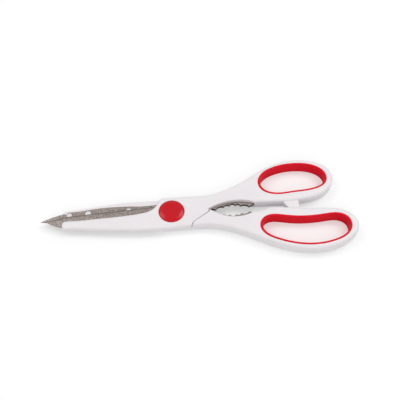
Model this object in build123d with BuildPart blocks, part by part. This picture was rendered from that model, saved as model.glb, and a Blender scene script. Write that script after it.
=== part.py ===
"""Kitchen shears lying closed: two steel blades in white over-moulded halves, red loop liners, capped pivot.

The origin is on the pivot axis, in the plane that the shears lie on. +X runs from the pivot to the handles,
+Y towards the thumb handle and +Z up. The front half (thumb loop) lies on the back half (finger loop), and
the two meet at a parting plane. Each half is drawn face up, with its handle towards +y and its spine towards
-y, and the back half is that drawing turned half a turn about the long axis.
"""
import os
from math import atan2, cos, radians, sin, sqrt

from build123d import *

# Whole pair
thickness = 8.6                # height of the pair, lying flat
lap_clearance = 0.05           # each half stands back this far from the parting plane
front_drop = 0.9               # how far the front face falls from the handles to the pivot
drop_start = 46.0              # x where the front face starts to fall, and
drop_end = 14.0                # x where it has fallen
nose_drop = 0.5                # and how much lower it is at the nose of the blade cover
edge_bevel = 1.3               # bevel that breaks the outer edges of the over-mouldings
overrun = 1.0                  # how far a cutting body runs past what it cuts

# Blades, stamped from one sheet
sheet = 1.8
blade_reach = 85.4             # pivot to the front blade's tip
tip_overreach = 3.0            # the back blade's tip shows this far past the front one's
head_length = 11.3             # spear head, from the front blade's tip to its shoulder
head_rise = 5.6                # spine side of the head at its shoulder
head_bulge = 0.45              # crown of the head's edge over its chord
barb_depth = 0.8
barb_length = 2.4
spine_rise = 8.7               # highest point of the spine over the axis
edge_bend = 69.4               # cutting edge turns this far from the pivot
edge_rise_tip = 3.0            # its height over the axis there
edge_rise_heel = 6.3           # and where it runs under the moulding
grind_width = 2.6              # hollow ground bevel on the outer face
grind_land = 0.35              # steel left at the cutting edge
boss_radius = 9.8              # round of steel about the pivot
spine_foot_share = 0.67        # where the spine starts behind the barb, of its rise

# Holes near the spine, through which the moulding keys into the blade
anchor_radius = 2.0
anchor_shares = (0.812, 0.664, 0.34)         # places along the blade, from the pivot, of its reach
anchor_rises = (4.2, 4.8, 5.1)               # their heights over the axis
anchor_recess = 0.45                         # plug faces lie this far below the steel

# Nutcracker jaws behind the pivot
jaw_start = 25.0               # x of the front corner of the opening, on the axis
jaw_end = 57.0                 # x of its rear corner
jaw_end_rise = 4.1
jaw_end_slope = 0.1            # slope of the grip where it leaves that corner
jaw_crown = 43.5               # x and height of the top of the moulded arch
jaw_crown_rise = 6.75
tooth_count = 6
tooth_radius = 2.3             # scallop between two teeth
tooth_depth = 1.5
tooth_lead_share = 0.62        # first scallop's middle, as a share of the pitch from the front of the arc
tooth_stand = 3.7              # teeth stand this far out of the moulding at the crown
tooth_stand_rear = 2.6         # and at the rear
tooth_run_start = 2.2          # steel starts this far behind the front corner
tooth_run_end = 1.4            # and ends this far before the rear one
tang_depth = 3.4               # steel buried behind the arch
tang_tail = 2.0                # steel buried behind the rear corner

# Moulded halves: neck, lap and blade cover
neck_flat = 15.5               # straight length beside the pivot
neck_rise = 11.8               # half width of the neck and of the cover beside the pivot
lap_radius = 17.0              # round end of each half's lap, about the pivot
lap_gap = 0.8                  # gap that shows between the halves
lap_foot_angle = 44.0          # the lap's arc runs from here
lap_head_angle = 27.0          # to here, below the axis
lap_lip = 2.1                  # and the lap ends this far below the front corner of the jaw opening
cover_reach = 73.4             # nose of the blade cover
nose_round = 2.3               # round end of the blade cover
nose_turn = 165.0              # and how far it turns
nose_rise = -4.0               # its middle, over the axis

# Thumb loop, on the front half
thumb_loop_start = 60.8
thumb_loop_length = 48.9
thumb_loop_base = 8.2
thumb_loop_height = 25.1
thumb_end_wall = 4.5
thumb_side_wall = 3.4

# Finger loop, on the back half
finger_loop_start = 58.1
finger_loop_length = 61.3
finger_loop_base = 8.0
finger_loop_height = 25.4
finger_end_wall = 5.0
finger_side_wall = 2.7

# Soft liners in the loops
liner_wall = 0.95
liner_rib_depth = 0.8
liner_rib_height = 2.6
liner_clearance = 0.05

# Closing stop on the front half
stop_start = 77.0
stop_length = 10.2
stop_height = 5.4
stop_root = 5.2                # how far over the axis the block runs into the thumb handle
stop_clearance = 0.1

# Pivot
bolt_radius = 3.0
bolt_flat_share = 0.8          # across the flats of the neck, of the bolt's width
bolt_head_radius = 6.5
bolt_edge = 0.3
running_clearance = 0.05
seat_clearance = 0.05
thread_radius = 2.5
washer_radius = 4.6
washer_height = 0.4
nut_radius = 5.0
nut_height = 1.05
nut_slot_width = 1.2
nut_slot_depth = 0.5
nut_edge = 0.2
cap_radius = 8.75
cap_dome = 0.7
cap_rim_bevel = 0.6
cap_skirt_clearance = 0.45     # cap to nut, all round
cap_roof_clearance = 0.1       # and over it

# Outlines of the grips, as shares of each handle's reach from the pivot and of its spread from the axis
thumb_grip_shares = (
    (0.590, 0.090), (0.674, 0.078), (0.790, 0.092), (0.868, 0.133), (0.938, 0.240), (0.987, 0.410),
    (1.000, 0.560), (0.978, 0.765), (0.912, 0.915), (0.820, 0.990), (0.755, 1.000), (0.650, 0.925),
    (0.545, 0.770), (0.440, 0.565), (0.338, 0.418), (0.240, 0.328),
)
finger_grip_shares = (
    (0.550, 0.046), (0.625, 0.075), (0.725, 0.118), (0.830, 0.138), (0.915, 0.185),
    (0.970, 0.300), (0.997, 0.480), (0.990, 0.640), (0.930, 0.835), (0.845, 0.960), (0.750, 1.000),
    (0.655, 0.955), (0.555, 0.840), (0.460, 0.680), (0.365, 0.512), (0.280, 0.395), (0.205, 0.338),
)

# Outlines of the two loops, as shares of each loop's length and height from its middle
thumb_loop_shares = (
    (0.500, -0.020), (0.450, -0.270), (0.300, -0.400), (0.000, -0.475), (-0.300, -0.500), (-0.450, -0.365),
    (-0.500, -0.090), (-0.420, 0.215), (-0.200, 0.435), (0.070, 0.500), (0.320, 0.412), (0.462, 0.215),
)
finger_loop_shares = (
    (0.500, -0.080), (0.475, -0.290), (0.385, -0.405), (0.180, -0.392), (-0.040, -0.388), (-0.260, -0.465),
    (-0.395, -0.495), (-0.482, -0.330), (-0.490, -0.010), (-0.380, 0.210), (-0.180, 0.415), (0.070, 0.500),
    (0.290, 0.415), (0.450, 0.210),
)

# Blade cover, as shares of the cover's reach and of the neck's half width
cover_inner_shares = (
    (0.110, 0.870), (0.132, 0.580), (0.163, 0.335), (0.210, 0.160), (0.290, 0.050), (0.400, -0.020),
    (0.640, -0.095), (0.880, -0.140),
)
cover_outer_shares = ((0.920, -0.605), (0.660, -0.835), (0.480, -0.950), (0.290, -1.000))

# Spine of the blade behind its head, as shares of the blade's reach and of the spine's rise
spine_shares = ((0.730, 0.785), (0.570, 0.955), (0.400, 1.000), (0.200, 0.970))

# Worked out
parting = thickness / 2
front_face = parting - front_drop
thumb_reach = thumb_loop_start + thumb_loop_length + thumb_end_wall
thumb_spread = thumb_loop_base + thumb_loop_height + thumb_side_wall
finger_reach = finger_loop_start + finger_loop_length + finger_end_wall
finger_spread = finger_loop_base + finger_loop_height + finger_side_wall
head_shoulder = blade_reach - head_length

front_plane = Plane(origin=(0, 0, parting), x_dir=(1, 0, 0), z_dir=(0, 0, 1))
back_plane = Plane(origin=(0, 0, parting), x_dir=(1, 0, 0), z_dir=(0, 0, -1))


def scaled(shares, reach, rise):
    """Points of an outline from its shares of a reach and a rise."""
    return [(along * reach, up * rise) for along, up in shares]


def on_circle(radius, angle):
    """Point on a circle about the pivot."""
    return (radius * cos(radians(angle)), radius * sin(radians(angle)))


def bow(before, here, after):
    """Direction at a point of the circle through it and its two neighbours."""
    first = Vector(*here) - Vector(*before)
    second = Vector(*after) - Vector(*here)
    return (first.normalized() * second.length + second.normalized() * first.length).normalized()


def joined_arcs(start, start_way, finish, finish_way):
    """Two arcs, tangent to each other, from one point and direction to the next."""
    start, finish = Vector(*start), Vector(*finish)
    across = finish - start
    both_ways = start_way + finish_way
    turn = 2 * (1 - start_way.dot(finish_way))
    slant = across.dot(both_ways)
    reach = across.dot(across) / (slant + sqrt(slant ** 2 + turn * across.dot(across)))
    middle = (start + start_way * reach + finish - finish_way * reach) / 2
    middle_way = (middle - start - start_way * reach).normalized()
    TangentArc(start, middle, tangent=start_way)
    TangentArc(middle, finish, tangent=middle_way)


def arc_run(points, start_way, finish_way):
    """Smooth run of arcs through points, with a given direction at each end."""
    ways = [bow(*three) for three in zip(points, points[1:], points[2:])]
    ways = [Vector(*start_way).normalized(), *ways, Vector(*finish_way).normalized()]
    for start, start_way, finish, finish_way in zip(points, ways, points[1:], ways[1:]):
        joined_arcs(start, start_way, finish, finish_way)


def arc_ring(points):
    """Closed smooth run of arcs through points."""
    ways = [bow(*three) for three in zip(points[-1:] + points[:-1], points, points[1:] + points[:1])]
    for spot in range(len(points)):
        joined_arcs(points[spot - 1], ways[spot - 1], points[spot], ways[spot])


def jaw_arch():
    """Arch of the moulding over the jaw opening, from its front corner to its rear one."""
    return ThreePointArc((jaw_start, 0), (jaw_crown, jaw_crown_rise), (jaw_end, jaw_end_rise))


def half_outline(grip):
    """Closed outline of one moulded half: jaw arch, grip, neck, blade cover, nose and lap."""
    neck_top = (0, neck_rise)
    cover_inner = [(-x, y) for x, y in scaled(cover_inner_shares, cover_reach, neck_rise)]
    cover_outer = [(-x, y) for x, y in scaled(cover_outer_shares, cover_reach, neck_rise)]
    lap_foot = on_circle(lap_radius, -lap_foot_angle)
    lap_head = on_circle(lap_radius, -lap_head_angle)
    with BuildLine() as outline:
        jaw_arch()
        arc_run([(jaw_end, jaw_end_rise), *grip, (neck_flat, neck_rise)], (1, jaw_end_slope), (-1, 0))
        Line((neck_flat, neck_rise), neck_top)
        nose = CenterArc((nose_round - cover_reach, nose_rise), nose_round, 90, nose_turn)
        arc_run([neck_top, *cover_inner, tuple(nose @ 0)[:2]], (-1, 0), tuple(nose % 0)[:2])
        arc_run([tuple(nose @ 1)[:2], *cover_outer, lap_foot], tuple(nose % 1)[:2], (1, 0))
        CenterArc((0, 0), lap_radius, -lap_foot_angle, lap_foot_angle - lap_head_angle)
        Polyline(lap_head, (jaw_start, -lap_lip), (jaw_start, 0))
    return outline.line


def lap_cut():
    """All that the other half's lap lies under: left of the lap curve, with the gap that shows."""
    foot = on_circle(lap_radius + lap_gap, lap_foot_angle)
    head = on_circle(lap_radius + lap_gap, lap_head_angle)
    left = -cover_reach - overrun
    with BuildLine() as outline:
        CenterArc((0, 0), lap_radius + lap_gap, lap_head_angle, lap_foot_angle - lap_head_angle)
        Polyline(foot, (foot[0], foot[1] + neck_rise), (left, foot[1] + neck_rise), (left, -2 * neck_rise),
                 (jaw_start + lap_gap, -2 * neck_rise), (jaw_start + lap_gap, lap_lip + lap_gap / 2), head)
    return outline.line


def loop_outline(loop, grow=0):
    """Outline of a loop in the moulding, where its liner seats, or one that stands outside it all round."""
    shares, start, length, base, height = loop
    middle_x = start + length / 2
    middle_y = base + height / 2
    points = scaled(shares, length + 2 * grow, height + 2 * grow)
    with BuildLine() as outline:
        arc_ring([(middle_x + x, middle_y + y) for x, y in points])
    return outline.line


def blade_outline(reach):
    """Closed outline of a blade forward of its boss: spear head, barb, spine and cutting edge."""
    tip = (-reach, 0)
    shoulder = (-head_shoulder, -head_rise)
    lean = atan2(-head_rise, reach - head_shoulder)
    middle_x = -(reach + head_shoulder) / 2
    head_middle = (middle_x + head_bulge * sin(lean), -head_rise / 2 - head_bulge * cos(lean))
    barb = (-head_shoulder + barb_length / 3, -head_rise + barb_depth)
    spine = [(-x, -y) for x, y in scaled(spine_shares, blade_reach, spine_rise)]
    spine_foot = (-head_shoulder + barb_length, -spine_foot_share * spine_rise)
    with BuildLine() as outline:
        ThreePointArc(tip, head_middle, shoulder)
        Polyline(shoulder, barb, spine_foot)
        Spline(spine_foot, *spine, (0, -spine_rise))
        Polyline((0, -spine_rise), (0, edge_rise_heel), (-boss_radius, edge_rise_heel),
                 (-edge_bend, edge_rise_tip), tip)
    return outline.line


def jaw_edge():
    """Free arc of the steel jaw, on which the teeth stand."""
    return ThreePointArc(
        (jaw_start + tooth_run_start, 0),
        (jaw_crown, jaw_crown_rise - tooth_stand),
        (jaw_end - tooth_run_end, jaw_end_rise - tooth_stand_rear),
    )


def jaw_outline():
    """Closed outline of the steel behind the boss: the tang, and the jaw that stands out under the arch."""
    tail = jaw_end + tang_tail
    back_rise = jaw_crown_rise + tang_depth
    with BuildLine() as outline:
        free = jaw_edge()
        Polyline(free @ 1, (jaw_end - tooth_run_end / 2, jaw_end_rise), (tail, jaw_end_rise + tang_tail),
                 (tail, back_rise), (jaw_crown, back_rise), (0, boss_radius), (0, 0), (lap_radius, 0),
                 free @ 0)
    return outline.line


def tooth_places():
    """Middles of the scallops that leave the teeth between them, along the jaw's free arc."""
    with BuildLine():
        free = jaw_edge()
    places = []
    for tooth in range(tooth_count):
        share = (tooth + tooth_lead_share) / tooth_count
        along = free % share
        outward = Vector(along.Y, -along.X)
        places.append(free @ share + outward * (tooth_radius - tooth_depth))
    return places


def anchor_places():
    """Middles of the holes through which the moulding keys into the blade."""
    return [(-along * blade_reach, -up) for along, up in zip(anchor_shares, anchor_rises)]


def double_d(radius, clearance):
    """Round with two flats, as the bolt's neck and the hole that keeps it from turning."""
    Circle(radius + clearance)
    Rectangle(2 * (radius + clearance), 2 * (radius * bolt_flat_share + clearance), mode=Mode.INTERSECT)


def local_middle(edge, plane):
    """Middle of an edge, in the coordinates in which its half is drawn."""
    return plane.to_local_coords(edge @ 0.5)


def is_rim(edge, plane):
    """Whether an edge runs round the outside of a half, and not along its lap, its arch or up its wall."""
    middle = local_middle(edge, plane)
    way = edge % 0.5
    inside = 0 < middle.X < jaw_end and abs(middle.Y) < neck_rise - lap_gap
    lengthwise = edge.geom_type != GeomType.LINE or abs(way.X) > abs(way.Y) + abs(way.Z)
    return lengthwise and not inside


def stamped_blade(plane, reach, hole):
    """One blade with its boss, jaw, holes and ground edge, its inner face at the parting plane."""
    with BuildPart() as blade:
        with BuildSketch(plane.offset(lap_clearance)):
            make_face(blade_outline(reach).edges())
            Circle(boss_radius)
            make_face(jaw_outline().edges())
            with Locations(*anchor_places()):
                Circle(anchor_radius, mode=Mode.SUBTRACT)
            with Locations(*tooth_places()):
                Circle(tooth_radius, mode=Mode.SUBTRACT)
            add(hole, mode=Mode.SUBTRACT)
        extrude(amount=sheet)
        outer = blade.faces().sort_by(Axis(plane.origin, plane.z_dir))[-1]
        ground = [edge for edge in outer.edges()
                  if local_middle(edge, plane).X < -boss_radius and local_middle(edge, plane).Y > 0]
        chamfer(ground, grind_width, sheet - grind_land, reference=outer)
    return blade


def front_ramp(plane, drop):
    """What is cut off the outer face, so that it falls from the grip to the pivot and on to the nose."""
    far = cover_reach + overrun
    top = parting + overrun
    with BuildSketch(Plane(origin=plane.origin, x_dir=plane.x_dir, z_dir=-plane.y_dir)) as ramp:
        with BuildLine():
            Polyline((drop_start, parting), (drop_end, parting - drop), (0, parting - drop),
                     (-far, parting - drop - nose_drop), (-far, top), (drop_start, top), close=True)
        make_face()
    return ramp.sketch


def over_moulding(plane, grip, loop, blade, recess_radius, drop=0, stop=None):
    """One moulded half round its blade: lap, bevelled rim, pocket for the steel, pivot recess, loop seat."""
    with BuildPart() as half:
        # The side that meets the other half, clear of its lap
        with BuildSketch(plane.offset(lap_clearance)):
            make_face(half_outline(grip).edges())
            make_face(lap_cut().edges(), mode=Mode.SUBTRACT)
        extrude(amount=-parting - lap_clearance)
        inner_edges = [edge for edge in half.edges() if local_middle(edge, plane).Z < -sheet]
        chamfer([edge for edge in inner_edges if is_rim(edge, plane)], edge_bevel)
        # The outer side
        with BuildSketch(plane.offset(lap_clearance)):
            make_face(half_outline(grip).edges())
        extrude(amount=parting - lap_clearance)
        if drop:
            extrude(front_ramp(plane, drop), amount=2 * thumb_spread, both=True, mode=Mode.SUBTRACT)
        outer_edges = [edge for edge in half.edges() if local_middle(edge, plane).Z > sheet]
        chamfer([edge for edge in outer_edges if is_rim(edge, plane)], edge_bevel)
        if stop:
            with BuildSketch(plane.offset(-stop_height / 2)):
                add(stop)
            extrude(amount=stop_height)
        # Steel, with the plugs that fill its holes a little low
        add(blade.part, mode=Mode.SUBTRACT)
        with BuildSketch(plane.offset(lap_clearance)):
            with Locations(*anchor_places()):
                Circle(anchor_radius)
        extrude(amount=anchor_recess, mode=Mode.SUBTRACT)
        # Recess at the pivot, all inside the boss of the steel
        with BuildSketch(plane.offset(lap_clearance)):
            Circle(recess_radius)
        extrude(amount=parting, mode=Mode.SUBTRACT)
        # Loop, and the groove that keys its liner
        with BuildSketch(plane.offset(-parting)):
            make_face(loop_outline(loop).edges())
        extrude(amount=thickness, mode=Mode.SUBTRACT)
        with BuildSketch(plane.offset(-liner_rib_height / 2 - liner_clearance)):
            make_face(loop_outline(loop, liner_rib_depth).edges())
        extrude(amount=liner_rib_height + 2 * liner_clearance, mode=Mode.SUBTRACT)
    return half


def loop_liner(plane, loop):
    """Soft ring that lines a loop, with a rib round its middle."""
    with BuildPart() as liner:
        with BuildSketch(plane.offset(-parting)):
            make_face(loop_outline(loop, -liner_clearance).edges())
            make_face(loop_outline(loop, -liner_wall).edges(), mode=Mode.SUBTRACT)
        extrude(amount=thickness)
        with BuildSketch(plane.offset(-liner_rib_height / 2)):
            make_face(loop_outline(loop, liner_rib_depth - liner_clearance).edges())
            make_face(loop_outline(loop, -liner_wall / 2).edges(), mode=Mode.SUBTRACT)
        extrude(amount=liner_rib_height)
    return liner


def closing_stop():
    """Plan of the block on the thumb handle that meets the finger handle when the pair is shut."""
    with BuildSketch() as block:
        with Locations((stop_start + stop_length / 2, 0)):
            Rectangle(stop_length, 2 * stop_root)
        facing = make_face(half_outline(finger_grip).edges(), mode=Mode.PRIVATE)
        with Locations((0, stop_clearance)):
            add(mirror(facing, about=Plane.XZ, mode=Mode.PRIVATE), mode=Mode.SUBTRACT)
    return block.sketch


thumb_grip = scaled(thumb_grip_shares, thumb_reach, thumb_spread)
finger_grip = scaled(finger_grip_shares, finger_reach, finger_spread)
thumb_loop = (thumb_loop_shares, thumb_loop_start, thumb_loop_length, thumb_loop_base, thumb_loop_height)
finger_loop = (finger_loop_shares, finger_loop_start, finger_loop_length, finger_loop_base,
               finger_loop_height)

# Heights of the stack on the pivot
back_blade_face = parting - lap_clearance - sheet
back_blade_inside = parting - lap_clearance
front_blade_face = parting + lap_clearance + sheet
washer_seat = front_blade_face + running_clearance
nut_seat = washer_seat + washer_height
nut_top = nut_seat + nut_height
cap_rim = parting + front_face

with BuildSketch() as keyed_hole:
    double_d(bolt_radius, seat_clearance)
with BuildSketch() as running_hole:
    Circle(bolt_radius + running_clearance)

back_blade = stamped_blade(back_plane, blade_reach + tip_overreach, keyed_hole.sketch)
front_blade = stamped_blade(front_plane, blade_reach, running_hole.sketch)
finger_handle = over_moulding(back_plane, finger_grip, finger_loop, back_blade,
                              bolt_head_radius + seat_clearance)
thumb_handle = over_moulding(front_plane, thumb_grip, thumb_loop, front_blade, cap_radius + seat_clearance,
                             drop=front_drop, stop=closing_stop())
finger_loop_liner = loop_liner(back_plane, finger_loop)
thumb_loop_liner = loop_liner(front_plane, thumb_loop)

with BuildPart() as pivot_bolt:
    with BuildSketch():
        Circle(bolt_head_radius)
    extrude(amount=back_blade_face)
    chamfer(pivot_bolt.edges().group_by(Axis.Z)[0], bolt_edge)
    with BuildSketch(Plane.XY.offset(back_blade_face)):
        double_d(bolt_radius, 0)
    extrude(amount=sheet)
    with BuildSketch(Plane.XY.offset(back_blade_inside)):
        Circle(bolt_radius)
    extrude(amount=washer_seat - back_blade_inside)
    with BuildSketch(Plane.XY.offset(washer_seat)):
        Circle(thread_radius)
    extrude(amount=nut_top - washer_seat)
    chamfer(pivot_bolt.edges().group_by(Axis.Z)[-1], bolt_edge)

with BuildPart() as spring_washer:
    with BuildSketch(Plane.XY.offset(washer_seat)):
        Circle(washer_radius)
        Circle(thread_radius + running_clearance, mode=Mode.SUBTRACT)
    extrude(amount=washer_height)

with BuildPart() as pivot_nut:
    with BuildSketch(Plane.XY.offset(nut_seat)):
        Circle(nut_radius)
        Circle(thread_radius + seat_clearance, mode=Mode.SUBTRACT)
    extrude(amount=nut_height)
    chamfer(pivot_nut.edges().group_by(Axis.Z)[-1].sort_by(SortBy.RADIUS)[-1], nut_edge)
    with BuildSketch(Plane.XY.offset(nut_top)):
        Rectangle(2 * nut_radius + overrun, nut_slot_width)
    extrude(amount=-nut_slot_depth, mode=Mode.SUBTRACT)

with BuildPart() as pivot_cap:
    pocket_radius = nut_radius + cap_skirt_clearance
    roof = nut_top + cap_roof_clearance
    crown = (0, cap_rim + cap_dome)
    with BuildSketch(Plane.XZ) as cap_profile:
        with BuildLine():
            TangentArc(crown, (cap_radius, cap_rim), tangent=(1, 0))
            Polyline((cap_radius, cap_rim), (cap_radius, front_blade_face), (pocket_radius, front_blade_face),
                     (pocket_radius, roof), (0, roof), crown)
        make_face()
        chamfer(cap_profile.vertices().group_by(Axis.X)[-1].sort_by(Axis.Y)[-1], cap_rim_bevel)
    revolve(axis=Axis.Z)

pieces = {
    "front_blade": front_blade,
    "back_blade": back_blade,
    "thumb_handle": thumb_handle,
    "finger_handle": finger_handle,
    "thumb_loop_liner": thumb_loop_liner,
    "finger_loop_liner": finger_loop_liner,
    "pivot_bolt": pivot_bolt,
    "spring_washer": spring_washer,
    "pivot_nut": pivot_nut,
    "pivot_cap": pivot_cap,
}

os.makedirs("parts", exist_ok=True)
for name, piece in pieces.items():
    piece.part.label = name
    export_step(piece.part, "parts/" + name + ".step")
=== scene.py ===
"""Kitchen shears lying closed on a pale table: white halves, steel blades, red loop liners, red pivot cap.

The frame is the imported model: origin on the pivot axis in the plane of the table, +X towards the handles, +Y
towards the thumb handle, +Z up, in metres. Shapes are worked out in millimetres and scaled once, when a mesh
is made. Each half is drawn face up, as in the model: x along the shears, y towards its own handle, w outward
from the plane where the halves meet. The back half is that drawing turned half a turn about the long axis.
"""
import math

import bmesh
import bpy
import numpy as np
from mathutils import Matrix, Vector
from mathutils.geometry import delaunay_2d_cdt


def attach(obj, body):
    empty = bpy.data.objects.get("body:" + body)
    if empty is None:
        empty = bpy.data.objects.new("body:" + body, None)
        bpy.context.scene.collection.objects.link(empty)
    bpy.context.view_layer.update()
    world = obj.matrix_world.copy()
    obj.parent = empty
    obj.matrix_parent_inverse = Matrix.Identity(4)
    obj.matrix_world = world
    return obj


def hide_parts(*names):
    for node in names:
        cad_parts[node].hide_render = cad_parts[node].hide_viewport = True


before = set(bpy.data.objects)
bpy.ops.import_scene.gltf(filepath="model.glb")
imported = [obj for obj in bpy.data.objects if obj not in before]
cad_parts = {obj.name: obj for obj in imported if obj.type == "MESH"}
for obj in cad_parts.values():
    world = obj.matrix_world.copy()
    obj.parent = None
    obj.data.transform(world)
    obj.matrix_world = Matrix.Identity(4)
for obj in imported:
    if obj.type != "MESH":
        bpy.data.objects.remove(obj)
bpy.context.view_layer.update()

MM = 0.001

# Meshes: how near points are joined, which edges are too short to stay, and the angles past which edges are
# sharp
WELD = 0.002
SLIVER = 0.0005
PIECE_SHARP = 40.0
MERGED_SHARP = 32.0
BLADE_SHARP = 20.0

# Net of points inside a flat face: its step and its margin from the borders, the distance of its rows as a
# share of the step, how many points are measured at once, and how near two points count as one
NET_STEP = 1.6
NET_MARGIN = 0.7
NET_ROW_SHARE = 0.866
NET_CHUNK = 400
NET_SAME = 1e-5
# Rise given to a level side of a polygon, so that nothing is divided by zero
LEVEL_RISE = 1e-12

# The pair, and its moulded halves
PARTING = 4.3
INNER_FACE = 0.08
FRONT_DROP = 0.9
DROP_START = 49.0
DROP_END = 9.0
NOSE_DROP = 0.5
NOSE_SOFT_SHARE = 0.06
RIM = 2.0
RIM_STEPS = 10
# Least radius of the rim beside a loop, the land left there, and the columns that share out a leaning end
LEAST_RIM = 0.6
LOOP_LAND = 0.35
LEAN_COLUMNS = 7
# Distance of samples along an edge, least step past the split, and points of an edge read for its insets
SAMPLE = 0.8
LEAST_STEP = 0.01
NEAR_POINTS = 40
JAW_START = (25.0, 0.0)
JAW_CROWN_PLACE = 43.5
JAW_END_WAY = (1.0, 0.1)
NECK_FLAT = 15.5
NECK_RISE = 11.8
COVER_REACH = 74.0
NOSE_ROUND = 3.1
NOSE_TURN = 145.0
NOSE_RISE = -4.6
LAP_RADIUS = 17.0
LAP_GAP = 0.8
LAP_FOOT_ANGLE = 44.0
LAP_HEAD_ANGLE = 33.0
LAP_LIP = 2.0
ANCHORS = ((-69.35, -4.2), (-56.71, -4.8), (-29.04, -5.1))
PLUG_FACE = 0.5
PLUG_COUNT = 32
PLUG_STEP = 0.8
PLUG_MARGIN = 0.3
BOLT_RECESS = 6.55
RECESS_COUNT = 96
RECESS_LIP = 0.3
SOFT_STEPS = 4

# Blades
BLADE_INSIDE = 0.05
SHEET = 1.8
BLADE_REACH = 85.4
TIP_OVERREACH = 3.0
HEAD_SHOULDER = 74.1
HEAD_RISE = 5.6
HEAD_BULGE = 0.45
HEAD_SHIFT = 1.6
HEAD_COUNT = 40
BARB = (-73.3, -4.8)
SPINE_FOOT = (-71.7, -6.45)
SPINE = ((-62.34, -6.83), (-48.68, -8.31), (-34.16, -8.45), (-17.08, -7.75), (-4.51, -8.70))
# Directions of the spine's run at its ends; one point in so many of the run is used
SPINE_FOOT_WAY = (1.0, -0.05)
SPINE_BOSS_WAY = (1.0, -0.12)
SPINE_EVERY = 8
EDGE_BEND = (69.4, 3.0)
EDGE_HEEL = (9.8, 6.3)
GRIND_WIDTH = 2.6
GRIND_LAND = 0.35
GRIND_FADE = 2.2
GRIND_START = 0.4
EDGE_STEP = 1.2
BEVEL_MARGIN = 0.5
SERRATION_WIDTH = 1.15
SERRATION_DEPTH = 0.32
SERRATION_PITCH = 1.25
# Samples in each serration, length of the band's taper at the tip, its rows as shares of its width, the least
# width divided by, and how far over the parting plane the outer side starts
SERRATION_SAMPLES = 4
BAND_TAPER = 3.0
BAND_PARTS = (0.0, 0.35, 0.7, 1.0)
LEAST_BAND = 1e-6
OUTER_SIDE = 0.1
BOSS_RADIUS = 9.8
BOSS_MEETS_SPINE = 62.6
BOSS_MEETS_EDGE = 40.0
PIVOT_HOLE = 3.05
ANCHOR_HOLES = (1.75, 2.0, 2.0)
HOLE_COUNT = 40
JAW_SHIFT = 1.0
JAW_STEEL_START = (27.25, 0.90)
JAW_STEEL_END = (56.80, 2.95)
TOOTH_TIPS = ((30.10, 0.05), (35.70, 1.87), (39.60, 2.54), (43.60, 2.38), (47.10, 1.94), (53.00, 0.90))
VALLEYS = ((32.95, 2.20), (37.10, 3.17), (40.70, 3.80), (45.15, 3.34), (49.50, 2.50))
TOOTH_COUNT = 9
JAW_TANG = ((58.0, 5.0), (59.0, 6.2), (59.0, 10.1), (43.5, 10.1))

# Outlines as shares of each handle's reach and spread, and of the blade cover's reach and half width
THUMB_GRIP_SHARES = (
    (0.590, 0.076), (0.674, 0.070), (0.790, 0.090), (0.868, 0.133), (0.938, 0.240), (0.987, 0.410),
    (1.000, 0.560), (0.978, 0.765), (0.912, 0.915), (0.820, 0.990), (0.755, 1.000), (0.650, 0.925),
    (0.545, 0.770), (0.440, 0.565), (0.338, 0.418), (0.240, 0.328),
)
FINGER_GRIP_SHARES = (
    (0.550, 0.046), (0.625, 0.075), (0.725, 0.118), (0.830, 0.138), (0.915, 0.185),
    (0.970, 0.300), (0.997, 0.480), (0.990, 0.640), (0.930, 0.835), (0.845, 0.960), (0.750, 1.000),
    (0.655, 0.955), (0.555, 0.840), (0.460, 0.680), (0.365, 0.512), (0.280, 0.395), (0.205, 0.338),
)
# Each grip: outline shares with their reach and spread, the crowns of its jaw arch on the outer and the inner
# side, the arch's rear corner, and how far the blade cover's outer edge swells beside the pivot
THUMB_GRIP = {
    "shares": THUMB_GRIP_SHARES, "reach": 114.2, "spread": 36.69, "outer_crown": 5.3, "inner_crown": 7.2,
    "jaw_end": (57.0, 3.0), "swell": 0.7,
}
FINGER_GRIP = {
    "shares": FINGER_GRIP_SHARES, "reach": 124.4, "spread": 36.09, "outer_crown": 6.6, "inner_crown": 8.1,
    "jaw_end": (57.0, 4.3), "swell": -0.5,
}
COVER_INNER_SHARES = (
    (0.110, 0.870), (0.132, 0.580), (0.163, 0.335), (0.210, 0.160), (0.290, 0.050), (0.400, -0.020),
    (0.640, -0.095), (0.880, -0.140),
)
COVER_SWELL_PLACE = 0.07
COVER_SWELL_PARTS = (0.7, 1.0)
COVER_OUTER_SHARES = ((0.920, -0.650), (0.660, -0.835), (0.480, -0.950), (0.290, -1.000))

# Closing stop
STOP_START = 77.0
STOP_END = 87.2
STOP_SLANT = 2.6
STOP_ROOT_SPREAD = 1.6
STOP_ROOT = 4.6
STOP_HALF = 2.4
STOP_ROUND = 0.5
STOP_CLEARANCE = 0.1
STOP_FOOT_COUNT = 9
STOP_ROUND_STEPS = 3
STOP_SHARP = 30.0

# Pivot cap
CAP_RADIUS = 8.75
CAP_CLEARANCE = 0.05
CAP_FOOT = 6.15
CAP_RIM = 7.7
CAP_DOME = 0.7
CAP_CENTRE = 6.0
CAP_DISH = 0.12
CAP_SLOPE = 19.0
CAP_EDGE = 0.5
CAP_BEND = 1.2
CAP_BEND_COUNT = 5
CAP_EDGE_COUNT = 8
CAP_RADII = (0.0, 0.5, 2.2, 4.0, 5.2, 5.8)
CAP_SKIRT = 0.3
CAP_FOOT_INSET = 0.2
CAP_COUNT = 96

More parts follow.
